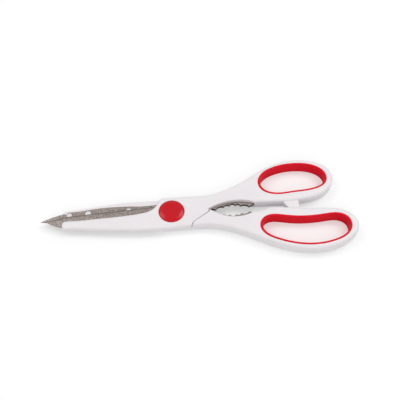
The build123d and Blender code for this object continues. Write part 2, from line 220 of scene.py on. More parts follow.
# Loops: outline shares of length and height, from the middle
THUMB_LOOP_SHARES = (
    (0.500, -0.020), (0.450, -0.270), (0.300, -0.410), (0.000, -0.484), (-0.300, -0.498), (-0.450, -0.365),
    (-0.500, -0.090), (-0.420, 0.215), (-0.200, 0.435), (0.070, 0.500), (0.320, 0.412), (0.462, 0.215),
)
FINGER_LOOP_SHARES = (
    (0.500, -0.080), (0.475, -0.290), (0.385, -0.405), (0.180, -0.392), (-0.040, -0.388), (-0.260, -0.465),
    (-0.395, -0.495), (-0.482, -0.330), (-0.490, -0.010), (-0.380, 0.210), (-0.180, 0.415), (0.070, 0.500),
    (0.290, 0.415), (0.450, 0.210),
)
THUMB_LOOP = {"shares": THUMB_LOOP_SHARES, "start": 60.8, "length": 48.9, "base": 8.2, "height": 25.1}
FINGER_LOOP = {"shares": FINGER_LOOP_SHARES, "start": 58.1, "length": 61.3, "base": 8.0, "height": 25.4}
LOOP_COUNT = 300
LOOP_SOFT = 0.35
LOOP_HARMONICS = 7.5
LINER_WALL = 1.3
LINER_SWELL = 0.5
LINER_CLEARANCE = 0.05
LINER_COUNT = 260
LINER_ROUND_INNER = 0.35
LINER_ROUND_OUTER = 0.15
LINER_ROUND_COUNT = 7
LINER_SIDE_COUNT = 5

# Materials: how far light goes under the skin, the weights of speckle and lines, and the painted shade on the
# sheet's upright edges, with where behind the pivot it sets in and is full
SUBSURFACE_RADIUS = (0.0015, 0.001, 0.0008)
SPECKLE_SHARE = 0.65
LINE_SHARE = 0.35
PAINTED_EDGE_SHADE = (0.012, 0.011, 0.010, 1.0)
EDGE_SHADE_START = 14.0
EDGE_SHADE_END = 20.0

# Table, light and camera, in metres. Each lamp is a square facing the origin: name, place, width and power
TABLE_SIZE = 6.0
TABLE_SHADE = 0.66
TABLE_ROUGHNESS = 0.9
TABLE_SPECULAR = 0.1
TABLE_GLOW = 0.36
WORLD_STRENGTH = 0.63
LAMPS = (
    ("right", (0.655, 0.394, 1.05), 0.5, 3.2),
    ("left", (-0.64, 0.416, 1.05), 0.5, 2.4),
    ("front", (0.0, -1.2, 0.7), 1.2, 4.7),
)
CAMERA_ANGLE = 36.36
CAMERA_PLACE = (0.00154, -0.22433, 0.35250)
CAMERA_AIM = (0.02005, 0.00980, 0.0043)


# Curves


def unit(ways):
    """Rows divided by their lengths."""
    return ways / np.linalg.norm(ways, axis=-1, keepdims=True)


def bow(points):
    """Directions at the inner points of a run: of the circle through each point and its two neighbours."""
    first, second = points[1:-1] - points[:-2], points[2:] - points[1:-1]
    return unit(unit(first) * np.linalg.norm(second, axis=1, keepdims=True)
                + unit(second) * np.linalg.norm(first, axis=1, keepdims=True))


def joined_arcs(points, ways, steps=24):
    """Two tangent arcs from each point and direction to the next.

    The legs of both arcs are equally long, so that the two meet smoothly half way between the ends of the
    inner legs. Each arc is a rational quadratic with its corner at the legs' meeting, weighted there by the
    cosine of half its turn.
    """
    start, finish, way_in, way_out = points[:-1], points[1:], ways[:-1], ways[1:]
    across, both = finish - start, way_in + way_out
    turn = 2 * (1 - (way_in * way_out).sum(1))
    slant, square = (across * both).sum(1), (across * across).sum(1)
    leg = (square / (slant + np.sqrt(slant ** 2 + turn * square)))[:, None]
    corner_a, corner_b = start + way_in * leg, finish - way_out * leg
    middle = (corner_a + corner_b) / 2
    way_middle = unit(corner_b - corner_a)
    share = np.linspace(0, 1, steps, endpoint=False)[None, :, None]

    def arc(begin, corner, end, way, way_end):
        """Points of one arc of each pair, from its ends, its corner and its directions at the ends."""
        weight = np.sqrt(np.clip((1 + (way * way_end).sum(1)) / 2, 0, 1))[:, None, None]
        top = (begin[:, None] * (1 - share) ** 2 + corner[:, None] * 2 * weight * share * (1 - share)
               + end[:, None] * share ** 2)
        return top / ((1 - share) ** 2 + 2 * weight * share * (1 - share) + share ** 2)

    first = arc(start, corner_a, middle, way_in, way_middle)
    second = arc(middle, corner_b, finish, way_middle, way_out)
    return np.concatenate([first, second], axis=1).reshape(-1, 2)


def arc_ring(points):
    """Closed smooth run of arcs through points, without repeating its first point."""
    points = np.array(points, float)
    ways = bow(np.vstack([points[-1:], points, points[:1]]))
    return joined_arcs(np.vstack([points, points[:1]]), np.vstack([ways, ways[:1]]))


def arc_run(points, start_way, finish_way):
    """Smooth run of arcs through points, with a given direction at each end."""
    points = np.array(points, float)
    ends = unit(np.array([start_way, finish_way], float))
    ways = np.vstack([ends[:1], bow(points), ends[1:]])
    return np.vstack([joined_arcs(points, ways), points[-1:]])


def round_arc(middle, radius, start, turn, count=48):
    """Points of a circle from an angle through a turn, both in degrees."""
    angle = np.radians(start + np.linspace(0, turn, count))
    return np.array(middle) + radius * np.stack([np.cos(angle), np.sin(angle)], axis=1)


def circle_ring(middle, radius, count):
    """Points of a full circle, without repeating its first."""
    return round_arc(middle, radius, 0, 360, count + 1)[:-1]


def arc_through(first, second, third, count=160):
    """Points of the circle through three points, from the first to the third.

    The middle is where the perpendicular bisectors of the two chords cross.
    """
    points = np.array([first, second, third], float)
    chords = points[1:] - points[:-1]
    middle = np.linalg.solve(chords, (chords * (points[1:] + points[:-1]) / 2).sum(1))
    spokes = points - middle
    angles = np.unwrap(np.arctan2(spokes[:, 1], spokes[:, 0]))
    return round_arc(middle, np.linalg.norm(spokes[0]), np.degrees(angles[0]),
                     np.degrees(angles[2] - angles[0]), count)


def length_along(line):
    """Distance of each point of an open polyline from its first."""
    return np.concatenate([[0], np.cumsum(np.linalg.norm(np.diff(line, axis=0), axis=1))])


def read_at(line, places):
    """Points of an open polyline at distances from its first point."""
    run = length_along(line)
    return np.stack([np.interp(places, run, line[:, axis]) for axis in range(2)], axis=1)


def evenly(line, count, closed=True):
    """A polyline read again at even distances along it."""
    whole = np.vstack([line, line[:1]]) if closed else line
    return read_at(whole, np.linspace(0, length_along(whole)[-1], count, endpoint=not closed))


def twice_area(line):
    """Twice the area in a closed outline, negative where it runs clockwise."""
    return (line[:, 0] * np.roll(line[:, 1], -1) - line[:, 1] * np.roll(line[:, 0], -1)).sum()


def outward(line):
    """Normals of a closed outline, away from what it encloses, from its neighbours on each side."""
    along = unit(np.roll(line, -1, axis=0) - np.roll(line, 1, axis=0))
    return np.stack([along[:, 1], -along[:, 0]], axis=1) * np.sign(twice_area(line))


def softened(line):
    """A closed outline with its unevenness taken out.

    The outline as a complex function of its length is turned into harmonics, each is multiplied by
    exp(-(order / limit) ** 4), and they are summed again.
    """
    harmonics = np.fft.fft(line[:, 0] + 1j * line[:, 1])
    order = np.fft.fftfreq(len(line)) * len(line)
    line = np.fft.ifft(harmonics * np.exp(-(order / LOOP_HARMONICS) ** 4))
    return np.stack([line.real, line.imag], axis=1)


def loop_ring(loop, count, grow=0.0):
    """Outline of a loop of the moulding, or one outside it by a distance all round."""
    size = np.array([loop["length"], loop["height"]])
    middle = np.array([loop["start"], loop["base"]]) + size / 2
    line = evenly(arc_ring(middle + np.array(loop["shares"]) * size), count)
    line = evenly(softened(line), count)
    return line + outward(line) * grow


def inward(line):
    """Normals to the left of an open polyline."""
    along = unit(np.gradient(line, axis=0))
    return np.stack([-along[:, 1], along[:, 0]], axis=1)


def inside(points, border):
    """Whether each point lies in a closed polygon: an odd number of its sides is passed on the way out."""
    x, y = points[:, :1], points[:, 1:]
    a, b = border, np.roll(border, -1, axis=0)
    rise = np.where(b[:, 1] == a[:, 1], LEVEL_RISE, b[:, 1] - a[:, 1])
    passed = (a[:, 1] > y) != (b[:, 1] > y)
    return (passed & (x < a[:, 0] + (y - a[:, 1]) * (b[:, 0] - a[:, 0]) / rise)).sum(1) % 2 == 1


def between(points, borders):
    """Whether each point lies inside the first border and outside the others, which are holes."""
    held = inside(points, borders[0])
    for hole in borders[1:]:
        held &= ~inside(points, hole)
    return held


# Meshes


def at_height(line, level):
    """Points (x, y, height) of a line, from one height or one for each point."""
    return np.column_stack([line, np.broadcast_to(level, len(line))])


def grid_faces(rows, columns, wrap_rows=False, wrap_columns=False):
    """Quads of a grid of points, row by row, closed on itself where asked."""
    across = np.arange(rows if wrap_rows else rows - 1)[:, None]
    along = np.arange(columns if wrap_columns else columns - 1)[None, :]
    next_row, next_column = (across + 1) % rows, (along + 1) % columns
    return np.stack([across * columns + along, across * columns + next_column,
                     next_row * columns + next_column, next_row * columns + along], axis=-1).reshape(-1, 4)


def finish_mesh(mesh, slot, sharp):
    """Shades a mesh smooth, apart from edges over an angle in degrees, and gives it its slot's material."""
    mesh.polygons.foreach_set("use_smooth", np.ones(len(mesh.polygons), bool))
    mesh.set_sharp_from_angle(angle=math.radians(sharp))
    mesh.materials.append(finishes[slot])


def new_object(name, data):
    """Object of some data, in the scene."""
    made = bpy.data.objects.new(name, data)
    bpy.context.scene.collection.objects.link(made)
    return made


def place_piece(name, mesh, body, replaces):
    """Object of a mesh in the scene, on its body and the nodes that it stands for."""
    piece = new_object(name, mesh)
    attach(piece, body)
    if replaces:
        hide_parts(*replaces)
    return piece


def make_piece(name, points, faces, body, slot, replaces=()):
    """Piece from points in millimetres and faces that already point outward."""
    mesh = bpy.data.meshes.new(name)
    mesh.from_pydata(np.asarray(points, float) * MM, [], [list(map(int, face)) for face in faces])
    finish_mesh(mesh, slot, PIECE_SHARP)
    mesh.validate()
    mesh.update()
    return place_piece(name, mesh, body, replaces)


def merged_piece(name, patches, back, body, slot, replaces=(), sharp=MERGED_SHARP, shade=None):
    """One closed piece of a half from patches of points and faces, joined where they meet, faces outward.

    A function of the points in millimetres that gives painted shade is kept with them as the attribute
    "groove", for the material.
    """
    starts = np.cumsum([0] + [len(points) for points, _ in patches])
    points = turned(np.vstack([points for points, _ in patches]), back)
    faces = [[int(spot) + int(start) for spot in face]
             for (_, patch), start in zip(patches, starts) for face in patch]
    mesh = bpy.data.meshes.new(name)
    mesh.from_pydata(points * MM, [], faces)
    shape = bmesh.new()
    shape.from_mesh(mesh)
    bmesh.ops.remove_doubles(shape, verts=shape.verts, dist=WELD * MM)
    bmesh.ops.dissolve_degenerate(shape, edges=shape.edges, dist=SLIVER * MM)
    bmesh.ops.recalc_face_normals(shape, faces=shape.faces)
    if sum(face.calc_area() * face.calc_center_median().dot(face.normal) for face in shape.faces) < 0:
        bmesh.ops.reverse_faces(shape, faces=shape.faces)
    shape.to_mesh(mesh)
    shape.free()
    finish_mesh(mesh, slot, sharp)
    if shade:
        places = np.empty(3 * len(mesh.vertices))
        mesh.vertices.foreach_get("co", places)
        layer = mesh.attributes.new("groove", "FLOAT", "POINT")
        layer.data.foreach_set("value", shade(places.reshape(-1, 3) / MM).astype(np.float32))
    mesh.update()
    return place_piece(name, mesh, body, replaces)


def filled(borders, height, step=NET_STEP, margin=NET_MARGIN):
    """Triangles between the first border and the others, which are holes, with a net of points inside.

    The net is rows of points, every other row shifted by half a step, kept a margin from every border. The
    height is a function of the points, or one number.
    """
    low, high = borders[0].min(0), borders[0].max(0)
    across, along = np.meshgrid(np.arange(low[0], high[0], step),
                                np.arange(low[1], high[1], step * NET_ROW_SHARE))
    across = across + (np.arange(len(across)) % 2 * step / 2)[:, None]
    net = np.stack([across.ravel(), along.ravel()], axis=1)
    net = net[between(net, borders)]
    edge = np.vstack(borders)
    away = np.concatenate([np.sqrt(((part[:, None] - edge[None]) ** 2).sum(2)).min(1)
                           for part in np.array_split(net, 1 + len(net) // NET_CHUNK)])
    points = np.vstack([edge, net[away > margin]])
    sides, start = [], 0
    for border in borders:
        spot = np.arange(len(border))
        sides += np.stack([start + spot, start + (spot + 1) % len(border)], axis=1).tolist()
        start += len(border)
    places = [Vector(point) for point in points]
    spots, _, triangles, _, _, _ = delaunay_2d_cdt(places, sides, [], 0, NET_SAME)
    flat = np.array([spot[:] for spot in spots])
    triangles = np.array(triangles)
    kept = between(flat[triangles].mean(1), borders)
    return at_height(flat, height(flat) if callable(height) else height), triangles[kept].tolist()


def strip(rows, closed=False):
    """Patch of quads between rows of points, each row closed on itself where asked."""
    return np.concatenate(rows), grid_faces(len(rows), len(rows[0]), False, closed).tolist()


def wall(line, heights, closed=False):
    """Upright strip under a line, level by level, each level one height or one for each point."""
    return strip([at_height(line, level) for level in heights], closed)


def turned(points, back):
    """Points (x, y, w) of a half in the frame: turned over for the back half, lifted to the parting plane."""
    turn = np.array([1.0, -1.0, -1.0]) if back else np.ones(3)
    return points * turn + (0.0, 0.0, PARTING)


# Materials


def new_material(name):
    """Empty node material with a Principled shader; returns the material, its nodes, links and shader."""
    material = bpy.data.materials.new(name)
    material.use_nodes = True
    nodes, links = material.node_tree.nodes, material.node_tree.links
    nodes.clear()
    output = nodes.new("ShaderNodeOutputMaterial")
    shader = nodes.new("ShaderNodeBsdfPrincipled")
    links.new(shader.outputs[0], output.inputs["Surface"])
    return material, nodes, links, shader


def srgb(red, green, blue):
    """Linear colour from 8-bit display values, by the curve of the sRGB standard."""
    return tuple(c / 12.92 if c <= 0.04045 else ((c + 0.055) / 1.055) ** 2.4
                 for c in (red / 255, green / 255, blue / 255)) + (1.0,)


def add_node(nodes, kind, values=None, operation=None):
    """New shader node, with values for some of its inputs, by name or number, and its operation."""
    node = nodes.new("ShaderNode" + kind)
    if operation:
        node.operation = operation
    for socket, value in (values or {}).items():
        node.inputs[socket].default_value = value
    return node


def fine_group():
    """Node group: fine uneven surface, from two sizes of noise, as a normal, a roughness and a cloud."""
    group = bpy.data.node_groups.new("Fine surface", "ShaderNodeTree")
    face = group.interface
    for label, default in (("Scale", 900.0), ("Depth", 0.02), ("Roughness", 0.4), ("Variation", 0.05)):
        socket = face.new_socket(label, in_out="INPUT", socket_type="NodeSocketFloat")
        socket.default_value = default
    for label, kind in (("Normal", "Vector"), ("Roughness", "Float"), ("Cloud", "Float")):
        face.new_socket(label, in_out="OUTPUT", socket_type="NodeSocket" + kind)
    nodes, links = group.nodes, group.links
    source, sink = nodes.new("NodeGroupInput"), nodes.new("NodeGroupOutput")
    place = add_node(nodes, "TexCoord")
    grain = add_node(nodes, "TexNoise", {"Detail": 2.0})
    cloud = add_node(nodes, "TexNoise", {"Scale": 60.0, "Detail": 3.0})
    bump = add_node(nodes, "Bump", {"Distance": 0.0002})
    spread = add_node(nodes, "Math", operation="MULTIPLY_ADD")
    centre = add_node(nodes, "Math", {1: 0.5}, "SUBTRACT")
    links.new(place.outputs["Object"], grain.inputs["Vector"])
    links.new(place.outputs["Object"], cloud.inputs["Vector"])
    links.new(source.outputs["Scale"], grain.inputs["Scale"])
    links.new(grain.outputs["Fac"], bump.inputs["Height"])
    links.new(source.outputs["Depth"], bump.inputs["Strength"])
    links.new(cloud.outputs["Fac"], centre.inputs[0])
    links.new(centre.outputs[0], spread.inputs[0])
    links.new(source.outputs["Variation"], spread.inputs[1])
    links.new(source.outputs["Roughness"], spread.inputs[2])
    links.new(bump.outputs["Normal"], sink.inputs["Normal"])
    links.new(spread.outputs[0], sink.inputs["Roughness"])
    links.new(cloud.outputs["Fac"], sink.inputs["Cloud"])
    return group


fine_surface = fine_group()


def moulded(name, base, deep, values, subsurface=0.0, specular=0.5):
    """Moulded plastic or rubber: two close shades, a fine skin with its own values, and an even sheen."""
    material, nodes, links, shader = new_material(name)
    skin = add_node(nodes, "Group")
    skin.node_tree = fine_surface
    for label, value in values.items():
        skin.inputs[label].default_value = value
    shade = add_node(nodes, "Mix")
    shade.data_type = "RGBA"
    shade.inputs["A"].default_value = base
    shade.inputs["B"].default_value = deep
    links.new(skin.outputs["Cloud"], shade.inputs["Factor"])
    links.new(shade.outputs["Result"], shader.inputs["Base Color"])
    links.new(skin.outputs["Roughness"], shader.inputs["Roughness"])
    links.new(skin.outputs["Normal"], shader.inputs["Normal"])
    shader.inputs["Specular IOR Level"].default_value = specular
    if subsurface:
        shader.inputs["Subsurface Weight"].default_value = subsurface
        shader.inputs["Subsurface Radius"].default_value = SUBSURFACE_RADIUS
    return material


white_plastic = moulded(
    "White plastic", srgb(240, 236, 238), srgb(233, 228, 231),
    {"Scale": 1400.0, "Depth": 0.10, "Roughness": 0.42, "Variation": 0.08}, subsurface=0.15)
red_rubber = moulded(
    "Red rubber", srgb(232, 8, 40), srgb(216, 7, 36),
    {"Scale": 1800.0, "Depth": 0.18, "Roughness": 0.60, "Variation": 0.10}, specular=0.15)
red_cap = moulded(
    "Red cap", srgb(206, 4, 26), srgb(192, 4, 24),
    {"Scale": 1100.0, "Depth": 0.08, "Roughness": 0.26, "Variation": 0.08}, specular=0.3)


def steel(name, base, deep, roughness, stretch=(5.0, 30.0, 30.0), edge_shade_share=0.0):
    """Ground steel on a metallic shader: fine speckle, and lines drawn out along the axis of the least scale.

    Faces that stand upright behind the pivot, the edges of the sheet, are darkened by a share as painted
    shade.
    The attribute "groove" paints shade into the serrations' grooves.
    """
    material, nodes, links, shader = new_material(name)
    place = add_node(nodes, "TexCoord")
    drawn = add_node(nodes, "Mapping", {"Scale": stretch})
    lines = add_node(nodes, "TexNoise", {"Scale": 160.0, "Detail": 4.0})
    speckle = add_node(nodes, "TexNoise", {"Scale": 1100.0, "Detail": 2.0})
    both = add_node(nodes, "Math", {1: SPECKLE_SHARE}, "MULTIPLY_ADD")
    half = add_node(nodes, "Math", {1: LINE_SHARE}, "MULTIPLY")
    ramp = add_node(nodes, "ValToRGB")
    ramp.color_ramp.elements[0].position = 0.40
    ramp.color_ramp.elements[0].color = deep
    ramp.color_ramp.elements[1].position = 0.60
    ramp.color_ramp.elements[1].color = base
    rough = add_node(nodes, "MapRange", {
        "From Min": 0.35, "From Max": 0.65, "To Min": roughness + 0.07, "To Max": roughness - 0.05,
    })
    bump = add_node(nodes, "Bump", {"Strength": 0.12, "Distance": 0.00005})
    links.new(place.outputs["Object"], drawn.inputs["Vector"])
    links.new(drawn.outputs["Vector"], lines.inputs["Vector"])
    links.new(place.outputs["Object"], speckle.inputs["Vector"])
    links.new(lines.outputs["Fac"], half.inputs[0])
    links.new(speckle.outputs["Fac"], both.inputs[0])
    links.new(half.outputs[0], both.inputs[2])
    links.new(both.outputs[0], ramp.inputs["Fac"])
    links.new(both.outputs[0], rough.inputs["Value"])
    links.new(both.outputs[0], bump.inputs["Height"])
    # Painted shade: faces that stand upright behind the pivot are darkened towards a near-black colour
    upright = add_node(nodes, "SeparateXYZ")
    size = add_node(nodes, "Math", operation="ABSOLUTE")
    edge_shade = add_node(nodes, "MapRange", {
        "From Min": 0.25, "From Max": 0.45, "To Min": edge_shade_share, "To Max": 0.0,
    })
    spot = add_node(nodes, "SeparateXYZ")
    behind = add_node(nodes, "MapRange", {"From Min": EDGE_SHADE_START * MM, "From Max": EDGE_SHADE_END * MM})
    held = add_node(nodes, "Math", operation="MULTIPLY")
    shade = add_node(nodes, "Mix")
    shade.data_type = "RGBA"
    shade.inputs["B"].default_value = PAINTED_EDGE_SHADE
    links.new(place.outputs["Object"], spot.inputs["Vector"])
    links.new(spot.outputs["X"], behind.inputs["Value"])
    links.new(place.outputs["Normal"], upright.inputs["Vector"])
    links.new(upright.outputs["Z"], size.inputs[0])
    links.new(size.outputs[0], edge_shade.inputs["Value"])
    links.new(edge_shade.outputs["Result"], held.inputs[0])
    links.new(behind.outputs["Result"], held.inputs[1])
    # Painted shade in the serrations' grooves, from the attribute; the darker of the two painted shades is
    # mixed in
    groove = add_node(nodes, "Attribute")
    groove.attribute_name = "groove"
    dark = add_node(nodes, "Math", operation="MAXIMUM")
    links.new(held.outputs[0], dark.inputs[0])
    links.new(groove.outputs["Fac"], dark.inputs[1])
    links.new(dark.outputs[0], shade.inputs["Factor"])
    links.new(ramp.outputs["Color"], shade.inputs["A"])
    links.new(shade.outputs["Result"], shader.inputs["Base Color"])
    links.new(rough.outputs["Result"], shader.inputs["Roughness"])
    links.new(bump.outputs["Normal"], shader.inputs["Normal"])
    shader.inputs["Metallic"].default_value = 1.0
    return material


# The blade steel carries near-black painted shade on its upright edges behind the pivot
blade_steel = steel("Blade steel", srgb(190, 178, 172), srgb(128, 118, 112), 0.38, edge_shade_share=0.92)
pivot_steel = steel("Pivot steel", srgb(200, 198, 196), srgb(165, 162, 160), 0.30, stretch=(12.0, 12.0, 1.0))

finishes = {
    "blade_steel": blade_steel, "pivot_steel": pivot_steel, "white_plastic": white_plastic,
    "red_liner": red_rubber, "red_cap": red_cap,
}
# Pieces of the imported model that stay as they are, with their materials
carried = {"pivot_bolt": "pivot_steel", "spring_washer": "pivot_steel", "pivot_nut": "pivot_steel"}
for node, slot in carried.items():
    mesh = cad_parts[node].data
    mesh.materials.clear()
    mesh.materials.append(finishes[slot])


# Blades


def edge_rise(x, reach):
    """Height of the cutting edge over the axis: two straight runs from the tip to the heel."""
    return np.interp(x, [-reach, -EDGE_BEND[0], -EDGE_HEEL[0]], [0.0, EDGE_BEND[1], EDGE_HEEL[1]])


def blade(name, node, body, back, reach, head_shift=0.0, jaw_shift=0.0, serrated=False):
    """One stamped blade: spear head, ground bevel, boss with its hole, and the toothed jaw behind it.

    The outer face lies a sheet's thickness out, and falls evenly to a thin land over the width of the grind
    along the cutting edge. Serrations are cosine grooves across the last of the bevel, deepest at the edge.
    The teeth are arcs from tip to tip.
    """
    def fade(x):
        """One along the blade, falling to nothing at the heel, where the grind runs out."""
        return np.clip((-EDGE_HEEL[0] - x) / GRIND_FADE, 0, 1)

    def band(x):
        """Width of the serrated band, which ends in a point at the tip."""
        return SERRATION_WIDTH * np.minimum(fade(x), np.clip((x + reach) / BAND_TAPER, 0, 1))

    def groove(points):
        """Share of a groove's full depth: a cosine along the edge, fading over the width of the band."""
        x, depth = points[:, 0], edge_rise(points[:, 0], reach) - points[:, 1]
        share = 1 - np.clip(depth / np.maximum(band(x), LEAST_BAND), 0, 1)
        return share * (1 - np.cos(2 * np.pi * x / SERRATION_PITCH)) / 2 * fade(x)

    def outer(points):
        """Height of the outer face: the sheet's, or what the grind and the grooves leave of it."""
        x, depth = points[:, 0], edge_rise(points[:, 0], reach) - points[:, 1]
        land = SHEET - (SHEET - GRIND_LAND) * fade(x)
        level = np.minimum(SHEET, land + (SHEET - GRIND_LAND) * np.clip(depth, 0, None) / GRIND_WIDTH)
        if serrated:
            level = level - SERRATION_DEPTH * groove(points)
        return BLADE_INSIDE + level

    def shade(points):
        """Painted shade on the outer side: the square root of the share of a groove's depth."""
        return np.sqrt(groove(points[:, :2])) * (points[:, 2] > PARTING + OUTER_SIDE)

    # The head's outline, and the corner where the inner edge of the bevel runs out on it
    shoulder = np.array([head_shift - HEAD_SHOULDER, -HEAD_RISE])
    tip = np.array([-reach, 0.0])
    lean = math.atan2(-HEAD_RISE, reach - HEAD_SHOULDER + head_shift)
    crown = (tip + shoulder) / 2 + np.array([math.sin(lean), -math.cos(lean)]) * HEAD_BULGE
    head = arc_through(tip, crown, shoulder, HEAD_COUNT)
    over = head[:, 1] - edge_rise(head[:, 0], reach) + GRIND_WIDTH
    meet = int(np.argmax(over < 0))
    share = over[meet - 1] / (over[meet - 1] - over[meet])
    corner = head[meet - 1] + share * (head[meet] - head[meet - 1])

    # The rest of the outline, from the barb along the spine, round the boss and the jaw to the edge's heel
    foot = np.array([BARB, SPINE_FOOT]) + (head_shift, 0.0)
    spine = arc_run([foot[1], *SPINE], SPINE_FOOT_WAY, SPINE_BOSS_WAY)[::SPINE_EVERY]
    boss_low = round_arc((0, 0), BOSS_RADIUS, 180 + BOSS_MEETS_SPINE, 180 - BOSS_MEETS_SPINE)
    boss_top = round_arc((0, 0), BOSS_RADIUS, 90, 90 - BOSS_MEETS_EDGE)
    teeth = [arc_through(one, valley, other, TOOTH_COUNT)[:-1]
             for one, valley, other in zip(TOOTH_TIPS, VALLEYS, TOOTH_TIPS[1:])]
    jaw = np.vstack([[JAW_STEEL_START], *teeth, TOOTH_TIPS[-1:], [JAW_STEEL_END]]) + (0, jaw_shift)
    rest = np.vstack([foot[:1], spine, boss_low, [(LAP_RADIUS, 0.0)], jaw, JAW_TANG, boss_top])

    # The cutting edge, the inner edges of the serrated band and of the bevel, and the holes
    step = SERRATION_PITCH / SERRATION_SAMPLES if serrated else EDGE_STEP
    columns = np.linspace(-EDGE_HEEL[0], -reach, int((reach - EDGE_HEEL[0]) / step) + 1)
    edge = np.stack([columns, edge_rise(columns, reach)], axis=1)
    within = edge - np.stack([np.zeros(len(edge)), band(columns)], axis=1)
    ground_x = np.arange(-EDGE_HEEL[0] - GRIND_START, corner[0], -EDGE_STEP)
    ground = np.stack([ground_x, edge_rise(ground_x, reach) - GRIND_WIDTH * fade(ground_x)], axis=1)
    holes = [circle_ring(place, radius, HOLE_COUNT)
             for place, radius in (((0, 0), PIVOT_HOLE), *zip(ANCHORS, ANCHOR_HOLES))]

    face = np.vstack([edge[:1], ground, [corner], head[meet:], rest])
    bevel = np.vstack([within[:-1], head[:meet], [corner], ground[::-1]])
    rows = [edge + (within - edge) * part for part in BAND_PARTS]
    whole = np.vstack([edge[:-1], head[:meet], [corner], head[meet:], rest])
    patches = [
        filled([whole, *holes], BLADE_INSIDE), filled([face, *holes], BLADE_INSIDE + SHEET),
        filled([bevel], outer, EDGE_STEP, BEVEL_MARGIN), strip([at_height(row, outer(row)) for row in rows]),
        wall(whole, [BLADE_INSIDE, outer(whole)], True),
        *[wall(hole, [BLADE_INSIDE, BLADE_INSIDE + SHEET], True) for hole in holes],
    ]
    return merged_piece(name, patches, back, body, "blade_steel", (node,), BLADE_SHARP,
                        shade if serrated else None)


blade("front_blade_ground", "front_blade", "thumb_half", False, BLADE_REACH, serrated=True)
blade("back_blade_ground", "back_blade", "finger_half", True, BLADE_REACH + TIP_OVERREACH,
      HEAD_SHIFT, JAW_SHIFT)


# Moulded halves


def flat_top(x):
    """Outer face of the back half: level."""
    return np.full(np.shape(x), PARTING)


def falling_top(x):
    """Outer face of the front half: level over the grip, then a soft fall to the pivot and on to the nose.

    The fall over the neck is a half wave, and the one over the blade cover is a straight slope that starts
    softly.
    """
    x = np.asarray(x, float)
    neck = np.clip((DROP_START - x) / (DROP_START - DROP_END), 0, 1)
    cover = np.clip(-x / COVER_REACH, 0, None)
    soft = cover - NOSE_SOFT_SHARE * (1 - np.exp(-cover / NOSE_SOFT_SHARE))
    return PARTING - FRONT_DROP * (1 - np.cos(np.pi * neck)) / 2 - NOSE_DROP * soft


def rim_line(grip):
    """Outer edge of a half that is rounded, from the jaw's rear corner, in two runs.

    The first goes round the grip to the neck. The second goes on beside the pivot, along the blade cover's
    inner edge, round the nose and back along its outer edge to the foot of the lap.
    """
    outline = np.array(grip["shares"]) * (grip["reach"], grip["spread"])
    handle = arc_run([grip["jaw_end"], *outline, (NECK_FLAT, NECK_RISE)], JAW_END_WAY, (-1, 0))
    nose = round_arc((NOSE_ROUND - COVER_REACH, NOSE_RISE), NOSE_ROUND, 90, NOSE_TURN)
    cover = np.array(COVER_INNER_SHARES) * (-COVER_REACH, NECK_RISE)
    under = np.array([*COVER_OUTER_SHARES, (COVER_SWELL_PLACE, -1.0)]) * (-COVER_REACH, NECK_RISE)
    under[-2:, 1] -= np.array(COVER_SWELL_PARTS) * grip["swell"]
    foot = round_arc((0, 0), LAP_RADIUS, -LAP_FOOT_ANGLE, 0, 1)[0]
    leave = np.radians(90 + NOSE_TURN)
    inner = arc_run([(0, NECK_RISE), *cover, nose[0]], (-1, 0), (-1, 0))
    outer = arc_run([nose[-1], *under, foot], (-np.sin(leave), np.cos(leave)), (1, 0))
    return handle[:-1], np.vstack([inner[:-1], nose[:-1], outer])


def rounding(inset):
    """How far a quarter-round rim lies below its face at an inset from the edge."""
    short = RIM - np.clip(inset, 0, RIM)
    return RIM - np.sqrt(RIM ** 2 - short ** 2)


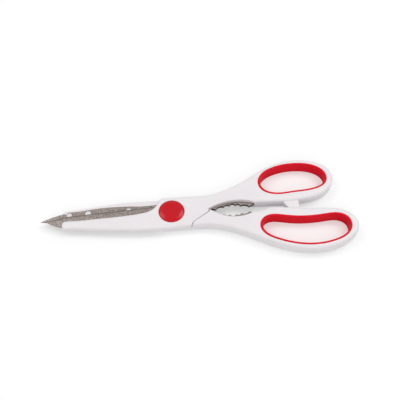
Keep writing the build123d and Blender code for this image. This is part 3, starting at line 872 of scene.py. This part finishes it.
def moulding(name, node, body, back, grip, loop, recess, top):
    """One moulded half as a closed shell.

    Its rim is a quarter round carried round the outline, cut off square by the edges of the lap and of the
    jaw arch, where it ends. Flat faces fill the rest, round the loop, the recess at the pivot and the plugs
    in the steel.
    """
    turn = np.linspace(0, np.pi / 2, RIM_STEPS + 1)
    insets = RIM * (1 - np.cos(turn))
    handle, cover = rim_line(grip)
    crossing = np.array([math.sqrt((LAP_RADIUS + LAP_GAP) ** 2 - NECK_RISE ** 2), NECK_RISE])
    first, second = (evenly(line, int(length_along(line)[-1] / SAMPLE), False)
                     for line in (np.vstack([handle, crossing]), np.vstack([crossing, cover])))
    rim = np.vstack([first, second[1:]])
    normals = inward(rim)

    # Edges that are not rounded: lap and lip, then the arch, and the lap of the inner side
    split = JAW_START[0] + LAP_GAP

    def arch(crown):
        """The jaw arch from where the two halves part, over its crown, to its rear corner."""
        line = arc_through(JAW_START, (JAW_CROWN_PLACE, crown), grip["jaw_end"])
        parting = (split, np.interp(split, line[:, 0], line[:, 1]))
        return np.vstack([parting, line[line[:, 0] > split + LEAST_STEP]])

    outer_arch, inner_arch = arch(grip["outer_crown"]), arch(grip["inner_crown"])
    lap = np.vstack([round_arc((0, 0), LAP_RADIUS, -LAP_FOOT_ANGLE, LAP_FOOT_ANGLE - LAP_HEAD_ANGLE),
                     [(JAW_START[0], -LAP_LIP), JAW_START, outer_arch[0]]])
    start, end = math.degrees(math.atan2(crossing[1], crossing[0])), LAP_HEAD_ANGLE
    inner_lap = np.vstack([round_arc((0, 0), LAP_RADIUS + LAP_GAP, start, end - start),
                           [(split, LAP_LIP + LAP_GAP / 2), inner_arch[0]]])

    def edge_samples(line, normal, corners):
        """Places along an edge that starts at the rim: the rim's insets, its corners, and steps between."""
        run = length_along(line)
        near = np.interp(insets, (line[:NEAR_POINTS] - line[0]) @ normal, run[:NEAR_POINTS])
        kinks = run[corners]
        far = np.arange(near[-1] + SAMPLE, run[-1] - SAMPLE / 2, SAMPLE)
        far = far[np.abs(far[:, None] - kinks[None]).min(1) > SAMPLE / 3]
        return np.concatenate([near, np.sort(np.concatenate([far, kinks]))])

    lap_edge = read_at(lap, edge_samples(lap, normals[-1], [-4, -3, -2, -1]))
    inner_edge = read_at(inner_lap, edge_samples(inner_lap, inward(first)[-1], [-3, -2, -1]))
    outer_arch, inner_arch = (read_at(line[::-1], edge_samples(line[::-1], normals[0], [-1]))[::-1]
                              for line in (outer_arch, inner_arch))
    steps = RIM_STEPS + 1

    ring = evenly(loop_ring(loop, LOOP_COUNT), LOOP_COUNT)
    away = outward(ring)
    circle = circle_ring((0, 0), recess, RECESS_COUNT)

    def rounded(samples, rim_normals, start_edge, end_edge, face, sign, lean=0):
        """Strip of a rim: upright from the inner face, then a quarter round to its face.

        Its radius shrinks where the loop comes near. The last columns share out the slant of a leaning end.
        """
        room = np.sqrt(((samples[:, None] - ring[None]) ** 2).sum(2)).min(1) - LOOP_SOFT - LOOP_LAND
        radius = np.clip(room, LEAST_RIM, RIM)
        inset = samples[None] + ((1 - np.cos(turn))[:, None] * radius)[:, :, None] * rim_normals[None]
        inset[:, 0], inset[:, -1] = start_edge, end_edge
        if lean:
            share = np.linspace(1, 0, lean)[None, :, None]
            inset[1:, -lean:] = end_edge[1:, None] + share * (inset[1:, -lean] - end_edge[1:])[:, None]
        level = face(inset[:, :, 0]) - radius * (1 - np.sin(turn))[:, None]
        rows = np.concatenate([at_height(samples, INNER_FACE)[None],
                               np.concatenate([inset, (level * sign)[:, :, None]], axis=2)])
        return strip(rows), inset[-1]

    def plain(line, rim_last, face, sign):
        """Upright edge of a side, its face end lowered where the rim runs out on it, first or last."""
        drop = np.zeros(len(line))
        if rim_last:
            drop[-steps:] = rounding(insets)[::-1]
        else:
            drop[:steps] = rounding(insets)
        return wall(line, [INNER_FACE, (face(line[:, 0]) - drop) * sign])

    def loop_row(t):
        """One row of the loop's softened edge, at an angle of its quarter round."""
        return at_height(ring + away * LOOP_SOFT * (1 - np.sin(t)), PARTING - LOOP_SOFT * (1 - np.cos(t)))

    def lip_row(t):
        """One row of the recess's softened edge, at an angle of its quarter round."""
        line = circle * (1 + RECESS_LIP * (1 - np.sin(t)) / recess)
        return at_height(line, top(line[:, 0]) - RECESS_LIP * (1 - np.cos(t)))

    # Outer side
    round_rim, top_inset = rounded(rim, normals, outer_arch[::-1][:steps], lap_edge[:steps], top, 1)
    patches = [round_rim, plain(lap_edge, False, top, 1), plain(outer_arch, True, top, 1)]
    border = np.vstack([top_inset, lap_edge[steps:], outer_arch[1:-steps]])
    patches.append(filled([border, ring + away * LOOP_SOFT, circle * (1 + RECESS_LIP / recess)],
                          lambda points: top(points[:, 0])))

    # Inner side, and what shows of the face that meets the other half
    round_rim, low_inset = rounded(first, normals[:len(first)], inner_arch[::-1][:steps], inner_edge[:steps],
                                   flat_top, -1, LEAN_COLUMNS)
    patches += [round_rim, plain(inner_edge, False, flat_top, -1), plain(inner_arch, True, flat_top, -1)]
    patches.append(filled([np.vstack([outer_arch, inner_arch[:-1][::-1]])], INNER_FACE))
    border = np.vstack([low_inset, inner_edge[steps:], inner_arch[1:-steps]])
    patches.append(filled([border, ring + away * LOOP_SOFT], -PARTING))
    plugs = [circle_ring(place, radius, PLUG_COUNT) for place, radius in zip(ANCHORS, ANCHOR_HOLES)]
    border = np.vstack([second, lap_edge[1:], inner_edge[1:][::-1]])
    patches.append(filled([border, circle, *plugs], INNER_FACE))
    for plug in plugs:
        patches.append(wall(plug, [INNER_FACE, PLUG_FACE], True))
        patches.append(filled([plug], PLUG_FACE, PLUG_STEP, PLUG_MARGIN))

    # Loop and recess, with softened edges
    soft_turn = np.linspace(0, np.pi / 2, SOFT_STEPS + 1)
    rows = [loop_row(t) for t in soft_turn]
    patches.append(strip([*rows, *(row * (1, 1, -1) for row in rows[::-1])], True))
    patches.append(strip([*(lip_row(t) for t in soft_turn), at_height(circle, INNER_FACE)], True))
    return merged_piece(name, patches, back, body, "white_plastic", (node,))


moulding("thumb_handle_moulding", "thumb_handle", "thumb_half", False, THUMB_GRIP, THUMB_LOOP,
         CAP_RADIUS + CAP_CLEARANCE, falling_top)
moulding("finger_handle_moulding", "finger_handle", "finger_half", True, FINGER_GRIP, FINGER_LOOP,
         BOLT_RECESS, flat_top)


# Closing stop


def closing_stop():
    """Block that stands out of the thumb handle's near wall and meets the finger handle at the closed pose.

    Its plan is a quadrangle with a slanting side towards the pivot, and its foot follows the finger handle's
    edge.
    """
    handle, _ = rim_line(FINGER_GRIP)
    edge = handle[:np.argmax(handle[:, 0])]
    run = np.linspace(STOP_START + STOP_SLANT, STOP_END, STOP_FOOT_COUNT)
    foot = np.stack([run, STOP_CLEARANCE - np.interp(run, edge[:, 0], edge[:, 1])], axis=1)
    plan = np.vstack([[(STOP_START - STOP_ROOT_SPREAD, STOP_ROOT)], foot, [(STOP_END, STOP_ROOT)]])
    count = len(plan)
    points = np.vstack([at_height(plan, level) for level in (-STOP_HALF, STOP_HALF)])
    spot = np.arange(count)
    faces = grid_faces(2, count, False, True).tolist() + [spot[::-1].tolist(), (count + spot).tolist()]
    piece = make_piece("closing_stop_block", turned(points, False), faces, "thumb_half", "white_plastic")
    bevel = piece.modifiers.new("Soft edges", "BEVEL")
    bevel.width = STOP_ROUND * MM
    bevel.segments = STOP_ROUND_STEPS
    bevel.limit_method = "ANGLE"
    bevel.angle_limit = math.radians(STOP_SHARP)


closing_stop()


# Liners


def liner(name, node, body, back, loop):
    """Soft ring round a loop: a closed profile carried round the loop's outline.

    The profile is a band with quarter rounds, larger on the edges towards the fingers, that stands from one
    face of the pair to the other. The band swells towards the end at the pivot, with the cosine of the way
    the ring faces.
    """
    ring = loop_ring(loop, LINER_COUNT, -LINER_CLEARANCE)
    normal = outward(ring)
    turn = np.linspace(0, np.pi / 2, LINER_ROUND_COUNT)
    inner, outer = LINER_ROUND_INNER, LINER_ROUND_OUTER
    width, half = LINER_WALL - LINER_CLEARANCE, PARTING
    # Inset from the outline and height, once round the profile
    top_out = np.stack([outer - outer * np.cos(turn), half - outer + outer * np.sin(turn)], axis=1)
    top_in = np.stack([width - inner + inner * np.sin(turn), half - inner + inner * np.cos(turn)], axis=1)
    side = np.stack([np.full(LINER_SIDE_COUNT, width),
                     np.linspace(half - inner, inner - half, LINER_SIDE_COUNT + 2)[1:-1]], axis=1)
    rim = np.vstack([top_out, top_in])
    profile = np.vstack([rim, side, rim[::-1] * (1, -1)])
    swell = 1 + LINER_SWELL / LINER_WALL * np.clip(-normal[:, :1, None], 0, 1)
    points = np.concatenate([
        ring[:, None, :] - normal[:, None, :] * profile[None, :, :1] * swell,
        np.broadcast_to(profile[None, :, 1:], (LINER_COUNT, len(profile), 1)),
    ], axis=2)
    faces = grid_faces(LINER_COUNT, len(profile), True, True)
    if twice_area(ring) < 0:
        faces = faces[:, ::-1]
    return make_piece(name, turned(points.reshape(-1, 3), back), faces, body, "red_liner", (node,))


liner("thumb_loop_liner_soft", "thumb_loop_liner", "thumb_half", False, THUMB_LOOP)
liner("finger_loop_liner_soft", "finger_loop_liner", "finger_half", True, FINGER_LOOP)


# Pivot cap


def revolved(profile, count):
    """Points and faces of a profile of radii and heights turned about the pivot axis, poles closed."""
    turn = np.arange(count) * 2 * np.pi / count
    rings = profile[1:-1]
    points = np.stack([
        rings[:, None, 0] * np.cos(turn)[None, :], rings[:, None, 0] * np.sin(turn)[None, :],
        np.broadcast_to(rings[:, None, 1], (len(rings), count)),
    ], axis=-1).reshape(-1, 3)
    points = np.vstack([points, [[0, 0, profile[0, 1]], [0, 0, profile[-1, 1]]]])
    faces = [list(face) for face in grid_faces(len(rings), count, False, True)]
    first, last, base = len(points) - 2, len(points) - 1, (len(rings) - 1) * count
    spot = np.arange(count)
    faces += [[first, (k + 1) % count, k] for k in spot]
    faces += [[last, base + k, base + (k + 1) % count] for k in spot]
    return points, faces


def cap():
    """Low red cap: a slightly dished centre, a sloping ring round it and a rounded edge into its recess."""
    crown = CAP_RIM + CAP_DOME
    radius = np.array(CAP_RADII)
    centre = crown - CAP_DISH * (1 - (radius / CAP_CENTRE) ** 2)
    slope = math.radians(CAP_SLOPE)
    # Turn at the inner edge of the ring, along the ring, then round the outer edge
    bend = np.linspace(0, slope, CAP_BEND_COUNT)
    inner = np.stack([CAP_CENTRE + CAP_BEND * np.sin(bend), crown - CAP_BEND * (1 - np.cos(bend))], axis=1)
    turn = np.linspace(slope, np.pi / 2, CAP_EDGE_COUNT)
    corner = CAP_RADIUS - CAP_EDGE
    reach = corner + CAP_EDGE * math.sin(slope)
    fall = inner[-1, 1] - (reach - inner[-1, 0]) * math.tan(slope)
    outer = np.stack([corner + CAP_EDGE * np.sin(turn),
                      fall - CAP_EDGE * (math.cos(slope) - np.cos(turn))], axis=1)
    skirt = np.array([[CAP_RADIUS, CAP_FOOT + CAP_SKIRT], [CAP_RADIUS - CAP_FOOT_INSET, CAP_FOOT],
                      [0.0, CAP_FOOT]])
    profile = np.vstack([np.stack([radius, centre], axis=1), inner, outer, skirt])
    points, faces = revolved(profile[::-1], CAP_COUNT)
    return make_piece("pivot_cap_dome", points, faces, "thumb_half", "red_cap", ("pivot_cap",))


cap()

# Table, lights and camera
bpy.ops.mesh.primitive_plane_add(size=TABLE_SIZE, location=(0, 0, 0))
table = bpy.context.object
table.name = "table"
paper, nodes, links, shader = new_material("Pale table")
shader.inputs["Base Color"].default_value = (TABLE_SHADE, TABLE_SHADE, TABLE_SHADE, 1.0)
shader.inputs["Roughness"].default_value = TABLE_ROUGHNESS
shader.inputs["Specular IOR Level"].default_value = TABLE_SPECULAR
shader.inputs["Emission Color"].default_value = (1.0, 1.0, 1.0, 1.0)
path = add_node(nodes, "LightPath")
seen = add_node(nodes, "Math", operation="MAXIMUM")
glow = add_node(nodes, "Math", {1: TABLE_GLOW}, "MULTIPLY")
links.new(path.outputs["Is Camera Ray"], seen.inputs[0])
links.new(path.outputs["Is Glossy Ray"], seen.inputs[1])
links.new(seen.outputs[0], glow.inputs[0])
links.new(glow.outputs[0], shader.inputs["Emission Strength"])
table.data.materials.append(paper)

world = bpy.data.worlds.new("Studio")
bpy.context.scene.world = world
world.use_nodes = True
background = world.node_tree.nodes["Background"]
background.inputs["Color"].default_value = (1.0, 1.0, 1.0, 1.0)
background.inputs["Strength"].default_value = WORLD_STRENGTH


def softbox(name, place, size, power):
    """Square area light that faces the origin."""
    lamp = bpy.data.lights.new(name, "AREA")
    lamp.shape = "SQUARE"
    lamp.size = size
    lamp.energy = power
    holder = new_object(name, lamp)
    holder.location = place
    holder.rotation_euler = (Vector((0, 0, 0)) - Vector(place)).to_track_quat("-Z", "Y").to_euler()


for lamp_values in LAMPS:
    softbox(*lamp_values)

camera_data = bpy.data.cameras.new("Camera")
camera_data.sensor_fit = "AUTO"
camera_data.angle = math.radians(CAMERA_ANGLE)
camera = new_object("Camera", camera_data)
camera.location = CAMERA_PLACE
camera.rotation_euler = (Vector(CAMERA_AIM) - camera.location).to_track_quat("-Z", "Y").to_euler()
bpy.context.scene.camera = camera
bpy.context.scene.view_settings.view_transform = "Standard"
